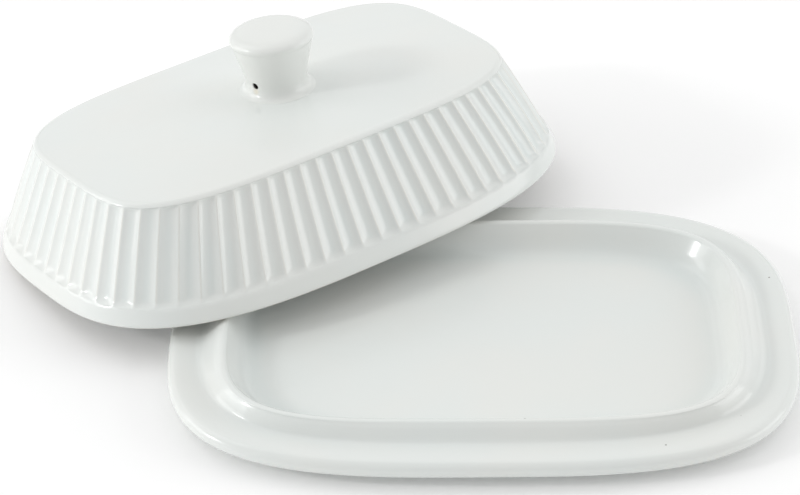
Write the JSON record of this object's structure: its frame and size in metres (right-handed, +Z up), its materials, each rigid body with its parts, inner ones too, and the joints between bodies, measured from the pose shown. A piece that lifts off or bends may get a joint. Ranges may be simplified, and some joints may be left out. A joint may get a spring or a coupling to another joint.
{
  "type": "butter dish",
  "caption": "Glazed white butter dish: oblong tray with a raised ridge, and a fluted lift-off lid with a hollow vented knob, leaning on the tray's edge.",
  "frame": {"origin": "middle of the tray's flat underside, on the table", "axes": "+X along the tray's long side towards its right end, +Y to the back where the lid leans, +Z up"},
  "size_m": [0.2581, 0.2356, 0.0693],
  "materials": {
    "tray_glaze": "glossy white glaze, faintly cool",
    "lid_glaze": "glossy white glaze, faintly cool",
    "knob_glaze": "glossy white glaze, faintly cool"
  },
  "bodies": {
    "tray": {"tray": "tray_glaze"},
    "lid": {"lid_shell": "lid_glaze", "lid_knob": "knob_glaze"}
  },
  "joints": [
    {"name": "lid_lift", "type": "slide", "parent": "tray", "child": "lid", "axis": [0, 0, 1], "range_m": [0, 0.1]}
  ]
}
